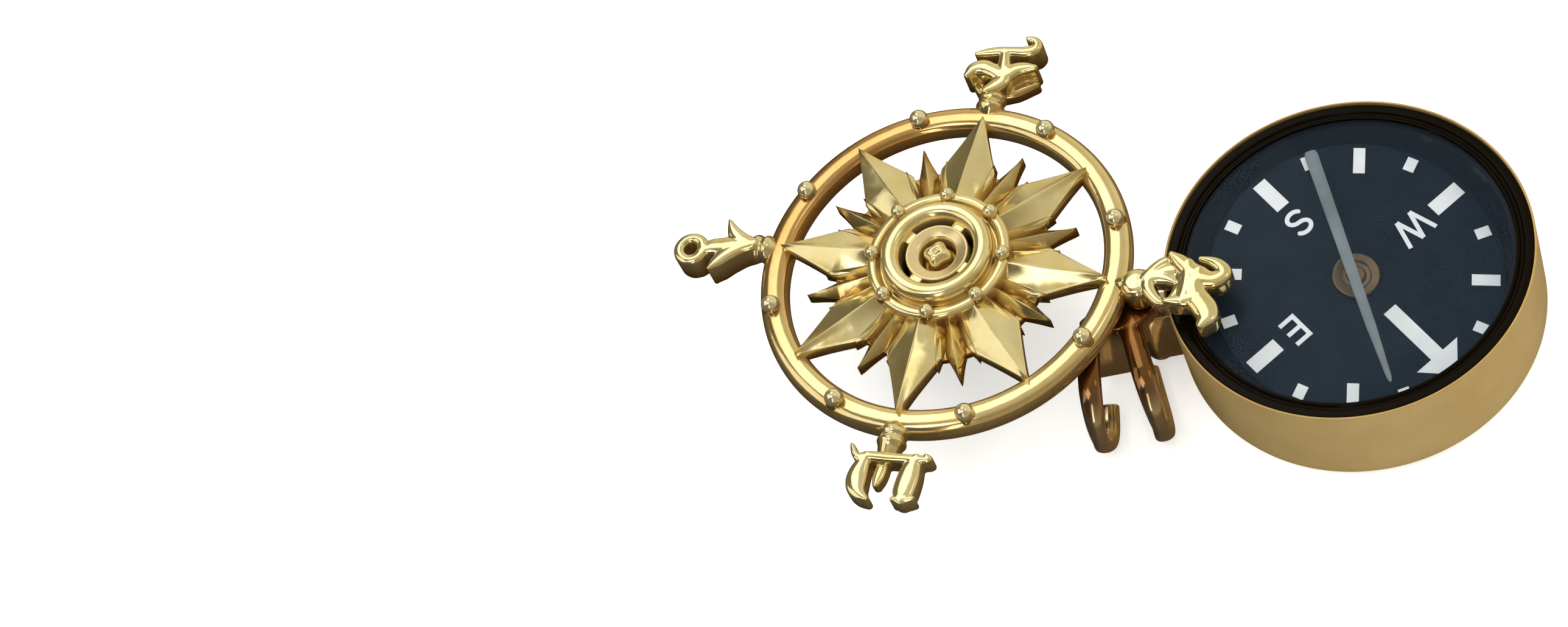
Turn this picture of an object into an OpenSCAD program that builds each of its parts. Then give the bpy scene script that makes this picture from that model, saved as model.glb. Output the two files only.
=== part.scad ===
// Compass pendant lying open on the back of its case.
// Millimetres. The origin is the centre of the case's back face, +Z points from the back to the dial,
// and the hinge pin stands on the -X side.

/* [Case] */
// Outer radius of the case
case_r = 11.2; // [11:0.1:12]
// Height of the case from its back to its lip
case_h = 7.1; // [7:0.1:8]
// Distance from the case's centre to the hinge pin
pin_d = 12.56; // [12.5:0.01:13]

/* [Cover] */
// Angle that the cover is swung away from its closed place
cover_open_deg = 160.7; // [120:0.1:165]
// Height of the cover's outer ring
ring_h = 1.5; // [1.3:0.1:1.7]
// Radius that the tips of the large rays reach
ray_tip_r = 10.72; // [10.5:0.01:10.9]
// Half width of a large ray at its widest place
ray_half_w = 1.78; // [1.4:0.01:2]
// Radius that the middle flute of each gap reaches
flute_tip_r = 8.65; // [7.8:0.05:9]

/* [Compass] */
// Direction that the card's north arrow points, seen from above
card_north_deg = -55; // [-180:0.5:180]
// Angle that the card dips towards its north side
card_dip_deg = 12.5; // [0:0.5:12.5]
// Direction that the pointed end of the lubber bar points
bar_deg = -81.7; // [-180:0.1:180]

/* [Bail] */
// Distance from the hinge pin to the tips of the bail's loops
bail_reach = 7.9; // [7.2:0.1:8.2]
// Width of the bail's band
band_w = 1.3; // [1:0.05:1.5]

/* [Hidden] */
smooth = 96;
round_small = 48;
eps = 0.01;

// Case and what sits in it
back_t = 0.8;
edge_round = 0.9;
lip_t = 0.18;
lip_round = 0.1;
pocket_r = 10.2;
seat_z = case_h - 1.1;
seat_r = case_r - lip_t;

// Hinge
pin_r = 0.5;
pin_fit = 0.03;
pin_head_r = 0.85;
pin_head_h = 0.4;
lug_r = 0.95;
lug_z = 1.0;
lug_top = 5.74;

// Capsule, crystal and bar
capsule_gap = 0.04;
capsule_r = pocket_r - capsule_gap;
capsule_z = back_t + capsule_gap;
capsule_floor_t = 0.5;
well_r = 9.7;
bezel_r = seat_r - capsule_gap;
bezel_top = case_h - 0.14;
crystal_r = 9.98;
crystal_z = case_h - 0.65;
crystal_t = 0.4;
bar_t = 0.14;
bar_z = crystal_z - bar_t - 0.02;

// Compass card
card_r = 8.9;
card_t = 0.25;
card_z = case_h - 2.95;
card_at = [0.15, 0.25];
mark_lift = 0.01;
mark_t = 0.04;
// Height of a printed letter over the width of its stroke
flat_letter_share = 6.6;
hub_r = 1.5;
hub_t = 0.4;
pivot_r = 0.35;
pivot_tip_r = 0.1;
pivot_cone_h = 1.2;
socket_depth = 0.5;

// Cover
cover_gap = 0.12;
cover_z = case_h + cover_gap;
ring_in_r = 10.08;
ring_out_r = 11.86;
ring_top_round = 0.62;
ring_low_round = 0.5;
bead_r = 0.6;
bead_ring_r = 11.05;
bead_rise = 0.25;
plate_z = 0.8;
web_t = 0.5;
web_r = 6.85;
ray_edge_z = 1.7;
ray_ridge_z = 2.5;
ray_tip_z = 1.95;
flute_edge_z = 1.3;
flute_ridge_z = 2.15;
flute_tip_z = 1.75;
flute_step_deg = 10.2;
flange_r = 4.55;
flange_top = 2.7;
flange_in_r = 3.9;
groove_z = 2.1;
groove_out_r = 3.7;
dome_in_r = 2.36;
dome_out_r = 3.45;
dome_top = 3.46;
cup_in_r = 1.1;
cup_out_r = 1.88;
cup_top = 2.85;
bridge_w = 0.6;
bridge_top = 2.72;
bridge_turn = 66;
stud_r = 0.78;
stud_z = 2.0;
small_bead_r = 0.42;
small_bead_ring_r = 4.19;
small_bead_z = 2.85;
small_bead_turn = 6;
post_r = 0.78;
post_z = 1.05;
post_end = 13.6;
collar_at = 12.2;
collar_w = 0.5;
collar_r = 0.98;
neck_r = 1.05;
neck_h = 2.1;
bore_depth = 1.45;

// Letters of the cover: heights of the underside and of the crest of a stroke, and how far its top is arched
deep_letter_z = 0.2;
thin_letter_z = 0.8;
letter_crest_z = 2.1;
letter_foot_z = 1.85;
letter_wing_z = 1.3;
letter_arch = 0.4;

// Bail
plate_gap = 0.1;
bail_plate_z = lug_top + plate_gap;
bail_top = case_h - 0.15;
bail_low = 0.45;
band_t = 0.8;
band_round = 0.36;
knuckle_r = 1.05;
bracket_u = [1.3, 4.05];
bracket_v = [0.8, 1.9];
bracket_low = 1.6;
shoulder_v = 1.3;
loop_mid_r = (bail_top - bail_low - band_t) / 2;
loop_mid_z = (bail_top + bail_low) / 2;
loop_bend_v = bail_reach - loop_mid_r - band_t / 2;
loop_start_v = 1.2;
// Loops: distance sideways of their root and of their tip, and where the lower strand starts
LOOP_ROOT = 0;
LOOP_TIP = 1;
LOOP_LOWER = 2;
loops = [
    [1.22, 0.19, 1.4],
    [3.55, 4.05, 3.5],
];

// Strokes of the letters in the cover's own plan, N up: x, y and half width at each bend
X = 0;
Y = 1;
HALF = 2;
n_strokes = [
    // hook of the left wing, up and over into the wing itself and down the left leg
    [[-1.8, 16.35, 0.16], [-1.72, 16.95, 0.24], [-1.5, 17.5, 0.34], [-1.1, 17.88, 0.42], [-0.62, 17.6, 0.5],
     [-0.5, 16.95, 0.6], [-0.7, 16.3, 0.7], [-1.15, 15.6, 0.55], [-1.6, 14.95, 0.46], [-1.9, 14.45, 0.26]],
    // right wing, joined across the notch
    [[-0.7, 16.25, 0.6], [0.0, 16.15, 0.66], [0.65, 16.4, 0.66], [1.15, 16.95, 0.64], [1.6, 17.4, 0.62],
     [2.1, 17.52, 0.5], [2.6, 17.3, 0.26]],
    // right leg
    [[0.85, 16.3, 0.6], [1.15, 15.7, 0.42], [1.25, 15.2, 0.32], [1.3, 14.8, 0.22]],
    // lower edge of the body
    [[-1.3, 15.6, 0.46], [-0.5, 15.78, 0.5], [0.3, 15.82, 0.5], [1.0, 15.75, 0.46]],
];
n_foot_strokes = [
    // low web that closes the left side
    [[-1.1, 15.0, 0.5], [-1.0, 14.4, 0.6], [-0.7, 13.8, 0.5]],
    // left foot
    [[-1.75, 14.4, 0.2], [-1.55, 14.0, 0.34], [-1.15, 13.6, 0.36], [-0.5, 13.2, 0.4]],
    // arch under the body
    [[-1.3, 14.9, 0.24], [-0.5, 15.2, 0.3], [0.4, 15.2, 0.3], [1.2, 14.85, 0.24]],
    // hump over the neck
    [[-0.2, 14.85, 0.24], [-0.4, 14.4, 0.42], [-0.45, 13.9, 0.48], [-0.3, 13.3, 0.46]],
    // crescent
    [[-0.4, 13.25, 0.4], [0.3, 13.35, 0.42], [0.85, 13.75, 0.38], [1.25, 14.25, 0.32], [1.45, 14.75, 0.18]],
];
e_strokes = [
    // stem
    [[13.5, 2.75, 0.16], [13.7, 2.95, 0.24], [13.8, 2.2, 0.32], [13.84, 1.4, 0.34], [13.88, 0.6, 0.36],
     [13.9, -0.2, 0.36], [13.95, -0.9, 0.34], [14.1, -1.5, 0.26]],
    // point at its foot
    [[14.15, -1.45, 0.24], [13.8, -1.8, 0.22], [13.35, -2.05, 0.14]],
    // upper arm and its serif
    [[13.9, 2.1, 0.44], [14.5, 2.0, 0.56], [15.2, 1.95, 0.62], [16.0, 1.92, 0.6], [16.35, 1.9, 0.5]],
    [[16.4, 2.6, 0.2], [16.55, 2.0, 0.28], [16.6, 1.45, 0.2]],
    // short middle arm
    [[13.9, 0.05, 0.34], [14.4, 0.02, 0.36], [15.0, -0.02, 0.3], [15.3, -0.04, 0.22]],
    // lower arm, turned up at its end
    [[14.0, -1.0, 0.36], [14.8, -1.2, 0.48], [15.5, -1.25, 0.54], [16.1, -1.1, 0.48], [16.5, -0.75, 0.34],
     [16.75, -0.3, 0.18]],
];
s_strokes = [
    // the two pointed shoulders
    [[0.1, -12.8, 0.5], [-0.1, -13.5, 0.55], [-0.6, -14.1, 0.44], [-1.3, -14.55, 0.14]],
    [[0.15, -12.8, 0.55], [0.45, -13.5, 0.6], [1.1, -14.2, 0.54], [1.7, -14.65, 0.44], [2.2, -14.95, 0.18]],
    // neck down to the curl
    [[0.35, -13.8, 0.66], [0.5, -14.6, 0.62], [0.62, -15.2, 0.58], [0.85, -15.65, 0.46]],
];
s_curl = [0.95, -16.6];
s_curl_r = 1.18;
s_curl_hole_r = 0.38;
w_strokes = [
    // outer stroke with its curl
    [[-16.72, 1.6, 0.22], [-16.62, 2.0, 0.3], [-16.3, 2.22, 0.38], [-15.95, 2.05, 0.42], [-15.76, 1.5, 0.4],
     [-15.72, 0.8, 0.36], [-15.66, 0.0, 0.36], [-15.5, -0.8, 0.34], [-15.3, -1.5, 0.22]],
    // middle stroke, which peaks between the wings
    [[-14.74, 2.3, 0.2], [-14.48, 1.7, 0.34], [-14.12, 1.1, 0.5], [-13.95, 0.45, 0.6], [-14.1, -0.25, 0.5],
     [-14.26, -0.9, 0.5], [-14.16, -1.4, 0.46], [-13.75, -1.75, 0.26]],
    // link between the outer and the middle stroke
    [[-15.7, 0.2, 0.28], [-15.0, 0.35, 0.4], [-14.1, 0.5, 0.5]],
    // inner lobe, drawn down to the post
    [[-14.05, 0.65, 0.5], [-13.45, 0.55, 0.54], [-13.0, 0.15, 0.5], [-12.7, -0.2, 0.38]],
];
w_wing_strokes = [
    // the low inner wing beside it
    [[-13.95, 2.5, 0.26], [-13.7, 1.9, 0.42], [-13.4, 1.3, 0.5], [-13.1, 0.6, 0.46], [-12.8, 0.0, 0.36]],
    // and its foot
    [[-13.9, -1.5, 0.3], [-13.4, -1.1, 0.4], [-12.9, -0.5, 0.4]],
];

// Points of an arc
function arc(cx, cy, r, from, to, steps) =
    [for (i = [0:steps]) let (a = from + (to - from) * i / steps) [cx + r * cos(a), cy + r * sin(a)]];

// Outline of a rectangle about its centre with round corners
function round_rect(w, h, r, steps) = concat(
    arc(w / 2 - r, h / 2 - r, r, 0, 90, steps),
    arc(-w / 2 + r, h / 2 - r, r, 90, 180, steps),
    arc(-w / 2 + r, -h / 2 + r, r, 180, 270, steps),
    arc(w / 2 - r, -h / 2 + r, r, 270, 360, steps));

// Value at share t between b and c on the smooth curve through a, b, c and d
function between(a, b, c, d, t) =
    0.5 * (2 * b + (c - a) * t + (2 * a - 5 * b + 4 * c - d) * t * t + (3 * b - a - 3 * c + d) * t * t * t);

// The same stroke with extra bends between its own, on a smooth curve
function smoothed(stroke, parts) =
    let (last = len(stroke) - 1)
    [for (i = [0:last - 1]) for (k = [0:parts - 1])
         between(stroke[max(i - 1, 0)], stroke[i], stroke[i + 1], stroke[min(i + 2, last)], k / parts),
     stroke[last]];

// Direction square to a stroke at one of its bends
function across(stroke, i) =
    let (a = stroke[max(i - 1, 0)], b = stroke[min(i + 1, len(stroke) - 1)],
         d = [b[X] - a[X], b[Y] - a[Y]])
    [-d[Y], d[X]] / norm(d);

// Puts a shape that is drawn in the cover's own plan where the open cover is
module in_cover() {
    translate([-pin_d, 0, cover_z])
        rotate([0, 0, cover_open_deg])
            translate([pin_d, 0, 0])
                rotate([0, 0, 90])
                    children();
}

// A cast stroke of a letter: flat below, upright at its edges and arched over to its crest
module cast_stroke(bends, low, crest) {
    stroke = smoothed(bends, 2);
    edge = crest - letter_arch;
    section = concat([[-1, low]], [for (a = [180:-36:0]) [cos(a), edge + letter_arch * sqrt(abs(sin(a)))]],
        [[1, low]]);
    n = len(section);
    last = len(stroke) - 1;
    points = [for (i = [0:last]) let (side = across(stroke, i)) for (p = section)
        [stroke[i][X] + side[0] * p[0] * stroke[i][HALF], stroke[i][Y] + side[1] * p[0] * stroke[i][HALF], p[1]]];
    walls = [for (i = [0:last - 1]) for (j = [0:n - 1])
        let (a = i * n + j, b = i * n + (j + 1) % n, c = a + n, d = b + n)
        each [[a, b, d], [a, d, c]]];
    start_cap = [for (j = [1:n - 2]) [0, j + 1, j]];
    end_cap = [for (j = [1:n - 2]) [last * n, last * n + j, last * n + j + 1]];
    polyhedron(points, concat(walls, start_cap, end_cap));
}

// A roof-shaped spike that points along +Y: its plan is a kite, its ridge runs along the middle
module spike(in_r, in_w, mid_r, mid_w, tip_r, edge_z, ridge_z, tip_z) {
    plan = [[-in_w, in_r], [-mid_w, mid_r], [0, tip_r], [mid_w, mid_r], [in_w, in_r]];
    low = [for (p = plan) [p[X], p[Y], plate_z]];
    high = [for (p = plan) [p[X], p[Y], p[Y] == tip_r ? tip_z : edge_z]];
    ridge = [[0, in_r, ridge_z]];
    polyhedron(concat(low, high, ridge),
        [[4, 3, 2, 1, 0], [0, 1, 6, 5], [1, 2, 7, 6], [2, 3, 8, 7], [3, 4, 9, 8], [4, 0, 5, 10, 9],
         [5, 6, 10], [6, 7, 10], [7, 8, 10], [8, 9, 10]]);
}

module outer_ring() {
    rotate_extrude($fn = smooth)
        polygon(concat(
            arc(ring_in_r + ring_low_round, ring_low_round, ring_low_round, 180, 270, 3),
            arc(ring_out_r - ring_low_round, ring_low_round, ring_low_round, 270, 360, 3),
            arc(ring_out_r - ring_top_round, ring_h - ring_top_round, ring_top_round, 0, 90, 5),
            arc(ring_in_r + ring_top_round, ring_h - ring_top_round, ring_top_round, 90, 180, 5)));
    for (k = [0:7])
        rotate([0, 0, 22.5 + 45 * k])
            translate([0, bead_ring_r, ring_h + bead_rise])
                sphere(r = bead_r, $fn = round_small);
}

module rays() {
    for (k = [0:7])
        rotate([0, 0, 45 * k])
            spike(4.4, 1.05, 6.6, ray_half_w, ray_tip_r, ray_edge_z, ray_ridge_z, ray_tip_z);
}

module flutes() {
    for (k = [0:7])
        for (side = [-1:1])
            rotate([0, 0, 22.5 + 45 * k + side * flute_step_deg]) {
                wide_r = 6.5 - 0.4 * abs(side);
                wide_w = 0.68 - 0.16 * abs(side);
                tip_r = flute_tip_r - 1.15 * abs(side);
                spike(4.4, 0.42, wide_r, wide_w, tip_r, flute_edge_z, flute_ridge_z, flute_tip_z);
            }
}

module boss() {
    translate([0, 0, plate_z])
        cylinder(r = web_r, h = web_t, $fn = smooth);
    rotate_extrude($fn = smooth)
        polygon(concat(
            [[dome_in_r, plate_z], [flange_r, plate_z]],
            arc(flange_r - 0.3, flange_top - 0.3, 0.3, 0, 90, 4),
            [[flange_in_r, flange_top], [groove_out_r, groove_z], [dome_out_r, groove_z]],
            arc(dome_out_r - 0.4, dome_top - 0.4, 0.4, 0, 90, 5),
            arc(dome_in_r + 0.4, dome_top - 0.4, 0.4, 90, 180, 5)));
    rotate_extrude($fn = round_small)
        polygon(concat(
            [[cup_in_r, plate_z], [cup_out_r, plate_z]],
            arc(cup_out_r - 0.16, cup_top - 0.16, 0.16, 0, 90, 3),
            arc(cup_in_r + 0.2, cup_top - 0.36, 0.2, 90, 180, 3)));
    for (k = [0:3])
        rotate([0, 0, bridge_turn + 90 * k])
            translate([cup_out_r - 0.1, -bridge_w / 2, plate_z])
                cube([dome_in_r - cup_out_r + 0.2, bridge_w, bridge_top - plate_z]);
    translate([0, 0, plate_z])
        cylinder(r = stud_r, h = stud_z - plate_z, $fn = round_small);
    translate([0, 0, stud_z])
        sphere(r = stud_r, $fn = round_small);
    for (k = [0:7])
        rotate([0, 0, small_bead_turn + 45 * k])
            translate([0, small_bead_ring_r, small_bead_z])
                sphere(r = small_bead_r, $fn = 32);
}

// Post from the ring to a letter, with its collar, along +Y
module post(end) {
    translate([0, ring_out_r - 0.4, post_z])
        rotate([-90, 0, 0])
            cylinder(r = post_r, h = end - ring_out_r + 0.4, $fn = round_small);
    translate([0, collar_at, post_z])
        rotate([-90, 0, 0])
            cylinder(r = collar_r, h = collar_w, $fn = round_small);
}

module letters() {
    edge = letter_crest_z - letter_arch;
    for (stroke = concat(n_strokes, e_strokes))
        cast_stroke(stroke, thin_letter_z, letter_crest_z);
    for (stroke = n_foot_strokes)
        cast_stroke(stroke, thin_letter_z, letter_foot_z);
    for (stroke = concat(s_strokes, w_strokes))
        cast_stroke(stroke, deep_letter_z, letter_crest_z);
    for (stroke = w_wing_strokes)
        cast_stroke(stroke, deep_letter_z, letter_wing_z);
    translate([s_curl[X], s_curl[Y], deep_letter_z])
        cylinder(r = s_curl_r, h = edge - deep_letter_z, $fn = round_small);
    translate([s_curl[X], s_curl[Y], edge - eps])
        cylinder(r1 = s_curl_r, r2 = s_curl_r * 0.75, h = letter_arch, $fn = round_small);
}

module cover() {
    color("gold")
        in_cover()
            difference() {
                union() {
                    outer_ring();
                    rays();
                    flutes();
                    boss();
                    rotate([0, 0, 90])
                        post(post_end - 0.6);
                    rotate([0, 0, 180])
                        post(post_end - 0.4);
                    rotate([0, 0, -90])
                        post(post_end);
                    translate([0, ring_out_r - 0.4, post_z])
                        rotate([-90, 0, 0])
                            cylinder(r = post_r, h = 1.6, $fn = round_small);
                    translate([0, pin_d, 0])
                        cylinder(r = neck_r, h = neck_h, $fn = round_small);
                    letters();
                }
                translate([0, pin_d, -eps])
                    cylinder(r = pin_r, h = bore_depth + eps, $fn = round_small);
                translate([s_curl[X], s_curl[Y], deep_letter_z - 1])
                    cylinder(r = s_curl_hole_r, h = letter_crest_z + 1, $fn = round_small);
            }
}

module case() {
    color("darkkhaki")
        difference() {
            union() {
                rotate_extrude($fn = smooth)
                    polygon(concat(
                        [[0, 0]],
                        arc(case_r - edge_round, edge_round, edge_round, 270, 360, 6),
                        arc(case_r - lip_round, case_h - lip_round, lip_round, 0, 90, 3),
                        [[seat_r, case_h], [seat_r, seat_z], [pocket_r, seat_z], [pocket_r, back_t], [0, back_t]]));
                translate([-pin_d, -lug_r, lug_z])
                    cube([pin_d - case_r + 0.5, 2 * lug_r, lug_top - lug_z]);
                translate([-pin_d, 0, lug_z])
                    cylinder(r = lug_r, h = lug_top - lug_z, $fn = round_small);
            }
            translate([-pin_d, 0, lug_z - 1])
                cylinder(r = pin_r + pin_fit, h = lug_top, $fn = round_small);
        }
}

module capsule() {
    color("black") {
        rotate_extrude($fn = smooth)
            polygon([
                [0, capsule_z], [capsule_r, capsule_z], [capsule_r, seat_z + capsule_gap],
                [bezel_r, seat_z + capsule_gap], [bezel_r, bezel_top - 0.1], [bezel_r - 0.1, bezel_top],
                [bezel_r - 0.42, bezel_top], [bezel_r - 0.55, bezel_top - 0.14], [bezel_r - 0.66, bezel_top - 0.14],
                [crystal_r + 0.12, bezel_top], [crystal_r + 0.02, bezel_top], [crystal_r + 0.02, crystal_z - 0.01],
                [well_r, crystal_z - 0.01], [well_r, capsule_z + capsule_floor_t],
                [0, capsule_z + capsule_floor_t]]);
        translate([card_at[X], card_at[Y], capsule_z + capsule_floor_t - eps])
            cylinder(r = pivot_r, h = card_z - pivot_cone_h - capsule_z - capsule_floor_t, $fn = round_small);
        translate([card_at[X], card_at[Y], card_z - pivot_cone_h - 2 * eps])
            cylinder(r1 = pivot_r, r2 = pivot_tip_r, h = pivot_cone_h - 0.1, $fn = round_small);
    }
}

module crystal() {
    color("lightcyan", 0.4)
        translate([0, 0, crystal_z])
            cylinder(r = crystal_r, h = crystal_t, $fn = smooth);
}

module lubber_bar() {
    tail = [-8.6, 0.42];
    waist = [4.6, 0.3];
    tip = [8.8, 0.13];
    color("slategray")
        translate([0, 0, bar_z])
            rotate([0, 0, bar_deg])
                linear_extrude(bar_t)
                    polygon([[tail[0], -tail[1]], [waist[0], -waist[1]], [tip[0], -tip[1]],
                             [tip[0], tip[1]], [waist[0], waist[1]], [tail[0], tail[1]]]);
}

// Puts a shape drawn on the level card, N towards +Y, where the dipping card is
module on_card() {
    translate([card_at[X], card_at[Y], card_z])
        rotate([0, 0, card_north_deg - 90])
            rotate([-card_dip_deg, 0, 0])
                children();
}

module card() {
    color("midnightblue")
        on_card()
            difference() {
                translate([0, 0, -card_t])
                    cylinder(r = card_r, h = card_t, $fn = smooth);
                translate([0, 0, -card_t - 1])
                    cylinder(r = 0.8, h = card_t + 2, $fn = round_small);
            }
}

// A straight stroke between two points
module bar(from, to, w) {
    d = (to - from) / norm(to - from);
    side = [-d[1], d[0]] * w / 2;
    polygon([from - side, to - side, to + side, from + side]);
}

module letter_e_flat(h, w) {
    stroke_w = h / flat_letter_share;
    translate([-w / 2, -h / 2])
        square([stroke_w, h]);
    for (y = [-h / 2, -stroke_w / 2, h / 2 - stroke_w])
        translate([-w / 2, y])
            square([w, stroke_w]);
}

module letter_s_flat(h, w) {
    stroke_w = h / flat_letter_share;
    ry = (h - stroke_w) / 4;
    rx = (w - stroke_w) / 2;
    path = concat(
        [for (a = [30:20:250]) [rx * cos(a), ry + ry * sin(a)]],
        [for (a = [90:-20:-150]) [rx * cos(a), -ry + ry * sin(a)]]);
    for (i = [0:len(path) - 2])
        bar(path[i], path[i + 1], stroke_w);
    for (p = path)
        translate(p)
            circle(r = stroke_w / 2, $fn = 16);
}

module letter_w_flat(h, w) {
    stroke_w = h / flat_letter_share;
    foot = w / 4;
    bar([-w / 2, h / 2], [-foot, -h / 2], stroke_w);
    bar([-foot, -h / 2], [0, h / 2], stroke_w);
    bar([0, h / 2], [foot, -h / 2], stroke_w);
    bar([foot, -h / 2], [w / 2, h / 2], stroke_w);
}

module card_marks() {
    letter_at = 5.0;
    letter_h = 1.8;
    bar_in = 6.4;
    bar_out = 8.6;
    bar_half = 0.48;
    arrow_in = 2.9;
    arrow_neck = 6.95;
    arrow_tip = 8.7;
    arrow_half = 1.65;
    long_mark = [0.72, 1.7];
    short_mark = [0.68, 0.9];
    mark_end_r = 8.6;
    color("white")
        on_card()
            translate([0, 0, mark_lift])
                linear_extrude(mark_t) {
                    polygon([[-bar_half, arrow_in], [-bar_half, arrow_neck], [-arrow_half, arrow_neck],
                             [0, arrow_tip], [arrow_half, arrow_neck], [bar_half, arrow_neck], [bar_half, arrow_in]]);
                    for (deg = [90, 180, 270])
                        rotate(-deg)
                            translate([-bar_half, bar_in])
                                square([2 * bar_half, bar_out - bar_in]);
                    for (k = [0:3])
                        rotate(45 + 90 * k)
                            translate([-long_mark[X] / 2, mark_end_r - long_mark[Y]])
                                square(long_mark);
                    for (k = [0:7])
                        rotate(22.5 + 45 * k)
                            translate([-short_mark[X] / 2, mark_end_r - short_mark[Y]])
                                square(short_mark);
                    translate([letter_at, 0])
                        letter_e_flat(letter_h, 1.2);
                    translate([0, -letter_at])
                        letter_s_flat(letter_h, 1.35);
                    translate([-letter_at + 0.25, 0])
                        letter_w_flat(letter_h, 2.1);
                }
}

module card_hub() {
    color("peru")
        on_card()
            difference() {
                union() {
                    rotate_extrude($fn = round_small)
                        polygon([[0, -0.9], [0.75, -0.9], [0.75, 0.02], [hub_r, 0.02], [hub_r, hub_t - 0.15],
                                 [hub_r - 0.15, hub_t], [1.05, hub_t], [0.95, hub_t - 0.12], [0.7, hub_t - 0.12],
                                 [0.55, hub_t + 0.12], [0, hub_t + 0.12]]);
                }
                translate([0, 0, -1])
                    cylinder(r1 = 0.68, r2 = 0.2, h = 0.9, $fn = round_small);
            }
}

module band_section() {
    polygon(round_rect(band_t, band_w, band_round, 3));
}

// One loop of the bail in an upright plane: it leaves the origin along +X
module bail_loop(lower_start) {
    translate([loop_bend_v, 0, loop_mid_z])
        rotate([90, 0, 0])
            rotate([0, 0, -90])
                rotate_extrude(angle = 180, $fn = smooth)
                    translate([loop_mid_r, 0])
                        band_section();
    translate([loop_start_v, 0, loop_mid_z + loop_mid_r])
        rotate([0, 90, 0])
            linear_extrude(loop_bend_v - loop_start_v)
                band_section();
    translate([lower_start, 0, loop_mid_z - loop_mid_r])
        rotate([0, 90, 0])
            linear_extrude(loop_bend_v - lower_start)
                band_section();
}

// Seen from above: the plate of the bail, from the knuckle round the pin to the bracket
module bail_plate() {
    u = bracket_u;
    v = bracket_v;
    circle(r = knuckle_r, $fn = round_small);
    polygon([[0, -knuckle_r], [1.6, -0.75], [3.3, 0.25], [u[1], v[0]], [u[1], v[1]], [0.6, v[1]], [-0.3, 0.9]]);
}

module bail() {
    first = loops[0];
    color("peru")
        translate([-pin_d, 0, 0])
            rotate([0, 0, 180])
                difference() {
                    union() {
                        translate([0, 0, bail_plate_z])
                            linear_extrude(bail_top - bail_plate_z)
                                bail_plate();
                        translate([bracket_u[0], bracket_v[0], bracket_low])
                            cube([bracket_u[1] - bracket_u[0], bracket_v[1] - bracket_v[0], bail_top - bracket_low]);
                        translate([first[LOOP_ROOT] - band_w / 2, shoulder_v, bail_low])
                            cube([band_w, bracket_v[1] - shoulder_v, bail_top - bail_low]);
                        for (one = loops)
                            translate([one[LOOP_ROOT], 0, 0])
                                rotate([0, 0, atan2(bail_reach, one[LOOP_TIP] - one[LOOP_ROOT])])
                                    bail_loop(one[LOOP_LOWER]);
                    }
                    translate([0, 0, bail_plate_z - 1])
                        cylinder(r = pin_r + pin_fit, h = 3, $fn = round_small);
                }
}

module hinge_pin() {
    color("gold")
        translate([-pin_d, 0, 0]) {
            translate([0, 0, lug_z - 0.06 - pin_head_h])
                cylinder(r = pin_head_r, h = pin_head_h, $fn = round_small);
            translate([0, 0, lug_z - 0.06 - eps])
                cylinder(r = pin_r, h = cover_z + bore_depth - 0.05 - lug_z + 0.06 + eps, $fn = round_small);
        }
}

cover();
case();
capsule();
crystal();
lubber_bar();
card();
card_marks();
card_hub();
bail();
hinge_pin();
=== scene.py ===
import bmesh
import bpy
import numpy as np
from mathutils import Matrix, Vector


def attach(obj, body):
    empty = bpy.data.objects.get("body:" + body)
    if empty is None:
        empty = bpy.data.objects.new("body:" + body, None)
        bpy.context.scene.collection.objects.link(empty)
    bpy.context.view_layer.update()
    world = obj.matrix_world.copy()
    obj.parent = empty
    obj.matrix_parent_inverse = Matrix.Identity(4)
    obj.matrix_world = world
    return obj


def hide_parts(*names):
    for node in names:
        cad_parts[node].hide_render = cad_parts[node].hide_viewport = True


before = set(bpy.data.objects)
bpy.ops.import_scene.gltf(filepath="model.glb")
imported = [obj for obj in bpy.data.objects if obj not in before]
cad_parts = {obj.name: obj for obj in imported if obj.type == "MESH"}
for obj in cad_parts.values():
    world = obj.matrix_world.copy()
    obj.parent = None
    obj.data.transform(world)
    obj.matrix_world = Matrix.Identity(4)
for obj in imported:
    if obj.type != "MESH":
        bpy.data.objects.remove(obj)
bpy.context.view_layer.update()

# Compass pendant, opened: the gold rose cover is swung round its pin, away from the case.
# Shapes are worked out in millimetres and go into the meshes in metres.
MM = 0.001

# Places that the solids fix
PIN_D = 12.56
CASE_R = 11.2
CASE_H = 7.1
COVER_OPEN = 160.7
COVER_Z = 7.22
CARD_AT = (0.15, 0.25, 4.15)
CARD_NORTH = -55.0
CARD_DIP = 12.5
BAR_TURN = -81.7
CRYSTAL_Z = 6.45


# Points and patches

def xyz(x, y, z):
    """Points from their three coordinates, which may be single numbers or arrays."""
    return np.stack(np.broadcast_arrays(x, y, z), axis=-1).astype(float)


def turned(points, degrees):
    """Points carried round the Z axis: x cos a - y sin a, x sin a + y cos a, and z as it was."""
    a = np.radians(degrees)
    x, y, z = points[..., 0], points[..., 1], points[..., 2]
    return xyz(x * np.cos(a) - y * np.sin(a), x * np.sin(a) + y * np.cos(a), z)


def dipped(points, degrees):
    """Points tipped about the X axis, +Y side down: x, y cos a + z sin a, z cos a - y sin a."""
    a = np.radians(degrees)
    x, y, z = points[..., 0], points[..., 1], points[..., 2]
    return xyz(x, y * np.cos(a) + z * np.sin(a), z * np.cos(a) - y * np.sin(a))


def in_cover(points):
    """From the cover's own plan, N towards +Y, to the open cover: a quarter turn, a move out to the pin, and
    the swing about it."""
    closed = turned(points, 90) + np.array([PIN_D, 0, 0])
    return turned(closed, COVER_OPEN) + np.array([-PIN_D, 0, COVER_Z])


def on_card(points):
    """From the level card, N towards +Y, to the card as it floats: dipped, turned, and moved to its pivot."""
    return turned(dipped(points, CARD_DIP), CARD_NORTH - 90) + np.array(CARD_AT)


def in_bail(points):
    """From the bail's own plan, loops towards +Y, to its place beside the pin: half a turn and a move."""
    return turned(points, 180) + np.array([-PIN_D, 0, 0])


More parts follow.
